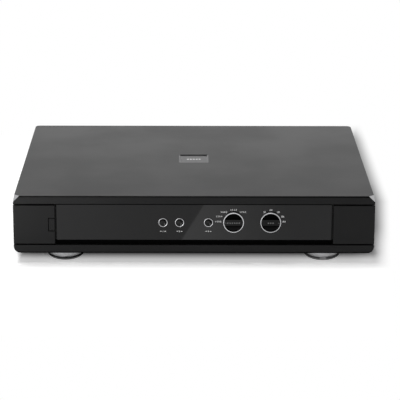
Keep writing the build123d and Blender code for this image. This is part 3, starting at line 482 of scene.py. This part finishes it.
finishes = {
    "black_case": satin_black(),
    "black_steel": matt_black(),
    "gloss_panel": gloss_panel(),
    "gloss_cap": knob_black(),
    "bright_trim": bright_trim(),
    "badge_metal": badge_metal(),
    "foot_metal": foot_metal(),
    "foot_rubber": foot_rubber(),
    "screw_steel": worn_metal("screw_steel", (0.05, 0.05, 0.053), (0.09, 0.09, 0.095), 0.35),
    "switch_plastic": moulding("switch_plastic", (0.03, 0.03, 0.032), (0.05, 0.05, 0.052), 0.5),
    "steel_shaft": worn_metal("steel_shaft", 0.50, (0.60, 0.60, 0.59), 0.3),
    "circuit_board": board_green(),
    "gold_contact": worn_metal("gold_contact", (0.62, 0.42, 0.14), (0.80, 0.58, 0.24), 0.2),
    "socket_plastic": insulator_plastic(),
    "connector_black": moulding("connector_black", (0.012, 0.012, 0.0125), (0.02, 0.02, 0.0205), 0.42),
    "nickel": worn_metal("nickel", (0.48, 0.46, 0.42), (0.60, 0.58, 0.54), 0.25),
    "film_case": moulding("film_case", (0.35, 0.035, 0.025), (0.45, 0.05, 0.035), 0.25, depth=0.002 * mm),
    "relay_case": moulding("relay_case", (0.60, 0.60, 0.57), (0.70, 0.70, 0.67), 0.45),
    "chip_case": moulding("chip_case", (0.015, 0.015, 0.016), (0.025, 0.025, 0.026), 0.6),
    "capacitor_sleeve": moulding("capacitor_sleeve", (0.012, 0.016, 0.06), (0.02, 0.026, 0.09), 0.22,
                                 depth=0.001 * mm),
    "sink_aluminium": worn_metal("sink_aluminium", 0.03, 0.05, 0.4),
    "winding_tape": winding_tape(),
    "zinc_steel": worn_metal("zinc_steel", (0.46, 0.46, 0.44), (0.60, 0.60, 0.57), 0.38, 1.5 * mm),
    "fuse_glass": fuse_glass(),
    "lead_sleeve": lead_sleeve(),
    "ribbon_sleeve": ribbon_grey(),
}


buttons = ("mono_button", "mute_button", "gain_button")
own_finishes = {node: button_black(node) for node in buttons}
own_finishes["front_subpanel"] = subpanel_black()

for row in frame["record"]["subparts"]:
    mesh = frame["nodes"][row["node"]].data
    mesh.materials.clear()
    mesh.materials.append(own_finishes.get(row["node"], finishes[row["material_slot"]]))

print_ink = ink("print_ink", 0.92)
faint_ink = ink("faint_ink", 0.16)
badge_ink = ink("badge_ink", 0.5)


# ---------------------------------------------------------------- printing
print_thickness = 0.06 * mm
stroke_growth = 0.035
weld_distance = 0.0001
corner_share = 0.4
on_front = Matrix.Rotation(math.radians(90), 4, "X")
on_back = Matrix.Rotation(math.radians(180), 4, "Z") @ on_front


def new_piece(name, bm, body, material):
    """Turns a finished bmesh into a piece of the object, which moves with a body."""
    mesh = bpy.data.meshes.new(name)
    bmesh.ops.recalc_face_normals(bm, faces=bm.faces)
    bm.to_mesh(mesh)
    bm.free()
    mesh.materials.append(material)
    made = bpy.data.objects.new(name, mesh)
    bpy.context.scene.collection.objects.link(made)
    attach(made, body)


def add_digits(bm, text, height, spacing, place):
    """Prints a short row of digits, centred on place, which turns them to their surface."""
    words = bpy.data.curves.new("digits", "FONT")
    words.offset = stroke_growth
    words.body = text
    words.space_character = spacing
    holder = bpy.data.objects.new("digits", words)
    bpy.context.scene.collection.objects.link(holder)
    flat = bpy.data.meshes.new_from_object(holder.evaluated_get(bpy.context.evaluated_depsgraph_get()))
    bpy.data.objects.remove(holder)
    row = bmesh.new()
    row.from_mesh(flat)
    bpy.data.meshes.remove(flat)
    bmesh.ops.remove_doubles(row, verts=row.verts, dist=weld_distance)
    xs = [vert.co.x for vert in row.verts]
    ys = [vert.co.y for vert in row.verts]
    middle = Vector(((min(xs) + max(xs)) / 2, (min(ys) + max(ys)) / 2, 0))
    scale = height / (max(ys) - min(ys))
    bmesh.ops.translate(row, vec=-middle, verts=row.verts)
    bmesh.ops.scale(row, vec=(scale, scale, scale), verts=row.verts)
    bmesh.ops.solidify(row, geom=row.faces[:], thickness=print_thickness)
    lowest = min(vert.co.z for vert in row.verts)
    bmesh.ops.translate(row, vec=(0, 0, -lowest), verts=row.verts)
    bmesh.ops.transform(row, matrix=place, verts=row.verts)
    merge(bm, row)


def add_bar(bm, width, height, place):
    """Prints a short bar with softened corners."""
    bar = bmesh.new()
    bmesh.ops.create_cube(bar, size=1.0)
    bmesh.ops.scale(bar, vec=(width, height, print_thickness), verts=bar.verts)
    half = print_thickness / 2
    bmesh.ops.translate(bar, vec=(0, 0, half), verts=bar.verts)
    upright = [edge for edge in bar.edges if abs(edge.verts[0].co.z - edge.verts[1].co.z) > half]
    bmesh.ops.bevel(bar, geom=upright, offset=corner_share * min(width, height), segments=3, profile=0.5,
                    affect="EDGES", material=-1)
    bmesh.ops.transform(bar, matrix=place, verts=bar.verts)
    merge(bm, bar)


def merge(bm, other):
    """Adds another bmesh to this one, and frees it."""
    mesh = bpy.data.meshes.new("merge")
    other.to_mesh(mesh)
    other.free()
    bm.from_mesh(mesh)
    bpy.data.meshes.remove(mesh)


panel_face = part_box("front_panel")[0].y
digit_height = 2.15 * mm
# The places of the numbers are millimetres across and up from the middle of the knob.
capacitance_steps = {"1000": (-18.1, 0.4), "1500": (-17.0, 6.8), "2000": (-11.5, 12.2), "2500": (0.0, 14.9),
                     "3000": (11.0, 12.2)}
load_steps = {"50": (-7.4, 12.2), "100": (0.3, 14.9), "150": (9.0, 12.2), "200": (14.0, 6.7),
              "250": (15.9, 0.4)}
wide_spacing = 1.5
close_spacing = 0.9
dials = (("capacitance_knob", capacitance_steps, wide_spacing), ("load_knob", load_steps, close_spacing))


def dial_numbers():
    """Plain numbers round both knobs, one for each step."""
    bm = bmesh.new()
    for node, steps, spacing in dials:
        knob = middle_of(node)
        for text, (across, up) in steps.items():
            place = Matrix.Translation((knob.x + across * mm, panel_face, knob.z + up * mm)) @ on_front
            add_digits(bm, text, digit_height, spacing, place)
    new_piece("dial_numbers", bm, "case", print_ink)


mark_drop = 11.0 * mm
mark_bar = (2.0 * mm, 0.9 * mm)
mark_bar_reach = 2.55 * mm


def button_numbers():
    """A plain number between two bars under each push button."""
    bm = bmesh.new()
    for index, node in enumerate(buttons):
        button = middle_of(node)
        place = Matrix.Translation((button.x, panel_face, button.z - mark_drop)) @ on_front
        add_digits(bm, str(index + 1), digit_height, 1.0, place)
        for side in (-1, 1):
            add_bar(bm, *mark_bar, place @ Matrix.Translation((side * mark_bar_reach, 0, 0)))
    new_piece("button_numbers", bm, "case", print_ink)


knob_dash = (1.9 * mm, 1.5 * mm)
knob_dash_pitch = 2.72 * mm
knob_mark_drop = 0.4 * mm
pointer_size = (1.5 * mm, 0.7 * mm)
pointer_reach = 9.6 * mm


def knob_marks(name, node, side, dashes):
    """A pointer at one end of the knob's bar, and a row of dashes across its middle."""
    bm = bmesh.new()
    middle = middle_of(node)
    centre = Matrix.Translation((middle.x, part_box(node)[0].y, middle.z - knob_mark_drop)) @ on_front
    add_bar(bm, *pointer_size, centre @ Matrix.Translation((side * pointer_reach, 0, 0)))
    for index in range(dashes):
        across = (index - (dashes - 1) / 2) * knob_dash_pitch
        add_bar(bm, *knob_dash, centre @ Matrix.Translation((across, 0, 0)))
    new_piece(name, bm, node, faint_ink)


badge_thickness = 0.6 * mm
badge_dash = (2.6 * mm, 4.5 * mm)
badge_dash_pitch = 3.7 * mm
badge_dashes = 5


def badge_marks():
    """A row of plain dashes across the floor of the badge."""
    bm = bmesh.new()
    middle = middle_of("top_badge")
    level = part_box("top_badge")[0].z + badge_thickness
    for index in range(badge_dashes):
        across = middle.x + (index - (badge_dashes - 1) / 2) * badge_dash_pitch
        add_bar(bm, *badge_dash, Matrix.Translation((across, middle.y, level)))
    new_piece("badge_marks", bm, "case", badge_ink)


rear_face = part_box("rear_panel")[1].y
rear_digit_height = 4.0 * mm
socket_pitch = 20.0 * mm
socket_columns = (("3", "4", 40.0 * mm), ("1", "2", 105.0 * mm))
socket_label_side = 12.0 * mm
balanced_columns = (("5", -50.0 * mm), ("6", -14.0 * mm))
balanced_label_rise = 21.0 * mm


def rear_place(x, z):
    """A place on the rear panel, for marks that are read from behind."""
    return Matrix.Translation((x, rear_face, z)) @ on_back


def rear_numbers():
    """A plain number beside each phono socket and above each balanced one."""
    bm = bmesh.new()
    level = middle_of("phono_sockets").z
    for upper, lower, x in socket_columns:
        for text, rise in ((upper, socket_pitch / 2), (lower, -socket_pitch / 2)):
            add_digits(bm, text, rear_digit_height, 1.0, rear_place(x - socket_label_side, level + rise))
    for text, x in balanced_columns:
        add_digits(bm, text, rear_digit_height, 1.0, rear_place(x, level + balanced_label_rise))
    new_piece("rear_numbers", bm, "case", print_ink)


# Each bar's place across and up, then its width and height, in millimetres.
earth_bars = ((0.0, 2.6, 0.7, 4.5), (0.0, 0.0, 7.0, 0.8), (0.0, -1.9, 4.6, 0.8), (0.0, -3.8, 2.2, 0.8))
earth_drop = 15.0 * mm


def ground_mark():
    """The common sign for earth, below the ground post: a stem over three shrinking bars."""
    bm = bmesh.new()
    post = middle_of("ground_post")
    for across, up, width, height in earth_bars:
        place = rear_place(post.x + across * mm, post.z - earth_drop + up * mm)
        add_bar(bm, width * mm, height * mm, place)
    new_piece("ground_mark", bm, "case", print_ink)


ring_inner = 5.52 * mm
ring_outer = 6.6 * mm
ring_thickness = 0.8 * mm
ring_steps = 64


def socket_rings(name, rise, material):
    """Coloured rings round the collars of one row of phono sockets."""
    bm = bmesh.new()
    level = middle_of("phono_sockets").z + rise
    for *_, x in socket_columns:
        ring = bmesh.new()
        corners = ((ring_inner, 0), (ring_outer, 0), (ring_outer, ring_thickness),
                   (ring_inner, ring_thickness))
        loop = [ring.verts.new((across, 0, up)) for across, up in corners]
        edges = [ring.edges.new((loop[index - 1], loop[index])) for index in range(len(loop))]
        bmesh.ops.spin(ring, geom=loop + edges, cent=(0, 0, 0), axis=(0, 0, 1), angle=math.tau,
                       steps=ring_steps, use_merge=True, use_duplicate=False)
        bmesh.ops.transform(ring, matrix=rear_place(x, level), verts=ring.verts)
        merge(bm, ring)
    new_piece(name, bm, "case", material)


white_moulding = moulding("white_moulding", (0.66, 0.66, 0.64), (0.74, 0.74, 0.72), 0.4)
red_moulding = moulding("red_moulding", (0.42, 0.015, 0.012), (0.52, 0.025, 0.02), 0.35)

rear_numbers()
ground_mark()
socket_rings("white_rings", socket_pitch / 2, white_moulding)
socket_rings("red_rings", -socket_pitch / 2, red_moulding)
dial_numbers()
button_numbers()
knob_marks("capacitance_marks", "capacitance_knob", -1, 6)
knob_marks("load_marks", "load_knob", 1, 3)
badge_marks()


# ---------------------------------------------------------------- studio
def ray_kind(finish, *kinds):
    """1 for the named kinds of ray, 0 for the others."""
    path = finish.node("ShaderNodeLightPath", {}, {}).socket.node
    total = 0.0
    for kind in kinds:
        total = finish.math("MAXIMUM", total, Wire(finish, path.outputs[kind]))
    return total


seen = ("Is Camera Ray", "Is Glossy Ray", "Is Transmission Ray")
floor_size = 60.0
floor_glow = 0.01
floor_albedo = 0.8
# The floor turns white between these distances from the object.
floor_near = 0.06
floor_far = 0.26
# Painted light: a glow on the floor below the front edge, as if light were thrown back there. A range is
# where it starts, is full, fades and ends.
painted_under_light = 0.46
under_range = (-0.136, -0.170, -0.170, -0.196)
under_edge = (-0.01, 0.03)
# Painted soft shadow beside the right side. Its outer edge has this width and reach, and leans in before
# the bend.
shade_depth = 0.72
shade_width = 0.025
shade_reach = 0.0485
shade_bend = 0.082
shade_lean = 0.098
shade_inward = 0.08
shade_range = (-0.155, -0.02, 0.40, 0.55)
# Faint painted shadow in front of the case.
tail_depth = 0.15
tail_range = (-0.175, -0.190, -0.190, -0.215)


def hump(finish, value, inner, full, fading, gone):
    """Rises from 0 to 1 and falls back to 0 along a coordinate."""
    return finish.between(value, inner, full) * finish.between(value, fading, gone, 1.0, 0.0)


def pale_floor():
    """Pale floor that keeps the shadows near the object and turns white far from it, with a painted glow
    below the front edge and painted shadows beside the right side and in front. Clear from below.
    """
    finish = Finish("pale_floor")
    eye = ray_kind(finish, *seen)
    x, y = finish.parts(finish.place())[:2]
    high = cad_box[1]
    beside = finish.math("MAXIMUM", abs(x) - high.x, abs(y) - high.y)
    far = finish.between(beside, floor_near, floor_far)
    matt = finish.node("ShaderNodeBsdfDiffuse", {}, {"Color": finish.blend(eye, floor_albedo, 1.0)})
    # Painted light: a glow on the floor below the front edge.
    painted_light_under_front = hump(finish, y, *under_range)
    within = finish.between(abs(x) - high.x, *under_edge, 1.0, 0.0)
    strength = eye * (painted_light_under_front * within * painted_under_light + floor_glow)
    glow = finish.node("ShaderNodeEmission", {}, {"Strength": strength})
    lit = finish.node("ShaderNodeAddShader", {}, {0: matt, 1: glow})
    # Painted shadows: a soft band beside the right side and a faint one in front.
    outside = x - high.x - shade_reach + finish.math("MAXIMUM", shade_bend - y, 0.0) * shade_lean
    painted_shadow_band = hump(finish, y, *shade_range) * finish.between(x, high.x - shade_inward, high.x)
    shade = painted_shadow_band * shade_depth + hump(finish, y, *tail_range) * tail_depth
    dark = finish.node("ShaderNodeEmission", {}, {"Strength": 0.0})
    shaded = finish.node("ShaderNodeMixShader", {}, {0: shade * eye, 1: lit, 2: dark})
    white = finish.node("ShaderNodeEmission", {}, {})
    clear_of_shade = finish.math("MAXIMUM", far * (1 - painted_shadow_band), finish.between(outside, -shade_width, 0.0))
    top = finish.node("ShaderNodeMixShader", {}, {0: clear_of_shade * eye, 1: shaded, 2: white})
    under = finish.node("ShaderNodeNewGeometry", {}, {}, "Backfacing")
    clear = finish.node("ShaderNodeBsdfTransparent", {}, {})
    return finish.done(finish.node("ShaderNodeMixShader", {}, {0: under, 1: top, 2: clear}))


def stage_sheet(name, bm, material):
    """Turns a finished bmesh into a sheet of the studio, which is no piece of the object."""
    mesh = bpy.data.meshes.new(name)
    bm.to_mesh(mesh)
    bm.free()
    mesh.materials.append(material)
    sheet = bpy.data.objects.new(name, mesh)
    bpy.context.scene.collection.objects.link(sheet)
    return sheet


def floor():
    """Level floor that the feet stand on."""
    bm = bmesh.new()
    bmesh.ops.create_grid(bm, x_segments=1, y_segments=1, size=floor_size / 2)
    stage_sheet("floor", bm, pale_floor())


# Two points of the slanting line, and the sides of the card.
card_slant = ((-22.1 * mm, -226 * mm), (20.05 * mm, -450 * mm))
card_left = -0.5
card_right = 0.5
card_near = -0.262
card_far = -0.9
card_height = 0.4 * mm
# From one place across to another, the glow goes from the third value to the fourth.
left_glow = (-0.25, 0.0, 1.7, 1.15)
right_glow = (-0.03, 0.135, 2.35, 1.2)
outer_glow = (-0.28, -0.17, 2.0, 0.0)


def reflection_card():
    """Sheet on the floor in front, seen only in gloss. Its glow steps up across a slanting line."""
    finish = Finish("card_glow")
    x, y = finish.parts(finish.place())[:2]
    (near_x, near_y), (far_x, far_y) = card_slant
    slope = (far_x - near_x) / (far_y - near_y)
    beyond = x - y * slope > near_x - near_y * slope
    left = finish.between(x, *left_glow)
    right = finish.between(x, *right_glow)
    outer = finish.between(x, *outer_glow)
    strength = left + beyond * (right - left) + outer
    material = finish.done(finish.node("ShaderNodeEmission", {}, {"Strength": strength}))
    bm = bmesh.new()
    bmesh.ops.create_grid(bm, x_segments=1, y_segments=1, size=0.5)
    bmesh.ops.scale(bm, vec=(card_right - card_left, card_near - card_far, 1), verts=bm.verts)
    middle = ((card_left + card_right) / 2, (card_near + card_far) / 2, card_height)
    bmesh.ops.translate(bm, vec=middle, verts=bm.verts)
    card = stage_sheet("reflection_card", bm, material)
    card.visible_camera = False
    card.visible_diffuse = False
    card.visible_shadow = False
    card.visible_transmission = False


world_light = 0.38


def studio_world():
    """Even pale light, white where it is seen."""
    world = bpy.data.worlds.new("studio")
    bpy.context.scene.world = world
    finish = Finish("studio", world)
    eye = ray_kind(finish, *seen)
    strength = world_light + eye * (1 - world_light)
    back = finish.node("ShaderNodeBackground", {}, {"Strength": strength})
    finish.node("ShaderNodeOutputWorld", {}, {"Surface": back})


def lamp(name, place, aim, size, power, gloss_only=False):
    """Soft lamp of this width and height, turned to what it aims at."""
    light = bpy.data.lights.new(name, "AREA")
    light.shape = "RECTANGLE"
    light.size, light.size_y = size
    light.energy = power
    holder = bpy.data.objects.new(name, light)
    holder.location = place
    holder.rotation_euler = (Vector(aim) - Vector(place)).to_track_quat("-Z", "Y").to_euler()
    holder.visible_camera = False
    holder.visible_diffuse = not gloss_only
    bpy.context.scene.collection.objects.link(holder)


camera_place = (-9.04 * mm, -2316.6 * mm, 702.33 * mm)
camera_depression = 16.28
camera_yaw = 0.427
camera_roll = 0.21
camera_lens = 169.19
camera_sensor = 36.0


def main_camera():
    """Long lens in front, a little above the case."""
    view = bpy.data.cameras.new("camera")
    view.sensor_width = camera_sensor
    view.lens = camera_lens
    view.clip_start = 0.05
    view.clip_end = 100.0
    holder = bpy.data.objects.new("camera", view)
    turn = Matrix.Rotation(math.radians(-camera_yaw), 4, "Z")
    tilt = Matrix.Rotation(math.radians(90 - camera_depression), 4, "X")
    roll = Matrix.Rotation(math.radians(camera_roll), 4, "Z")
    holder.matrix_world = Matrix.Translation(camera_place) @ turn @ tilt @ roll
    bpy.context.scene.collection.objects.link(holder)
    bpy.context.scene.camera = holder


floor()
reflection_card()
studio_world()
lamp("top", place=(-0.62, 0.1, 3.2), aim=(-0.4, 0, 0), size=(0.8, 1.5), power=100.0)
lamp("side", place=(-0.85, -1.4, 0.25), aim=(0, 0, 0.05), size=(1.0, 1.0), power=25.0, gloss_only=True)
lamp("back", place=(0.0, 0.75, 0.22), aim=(0, 0.1, 0.08), size=(1.0, 0.1), power=0.25, gloss_only=True)
main_camera()
bpy.context.scene.view_settings.view_transform = "Standard"
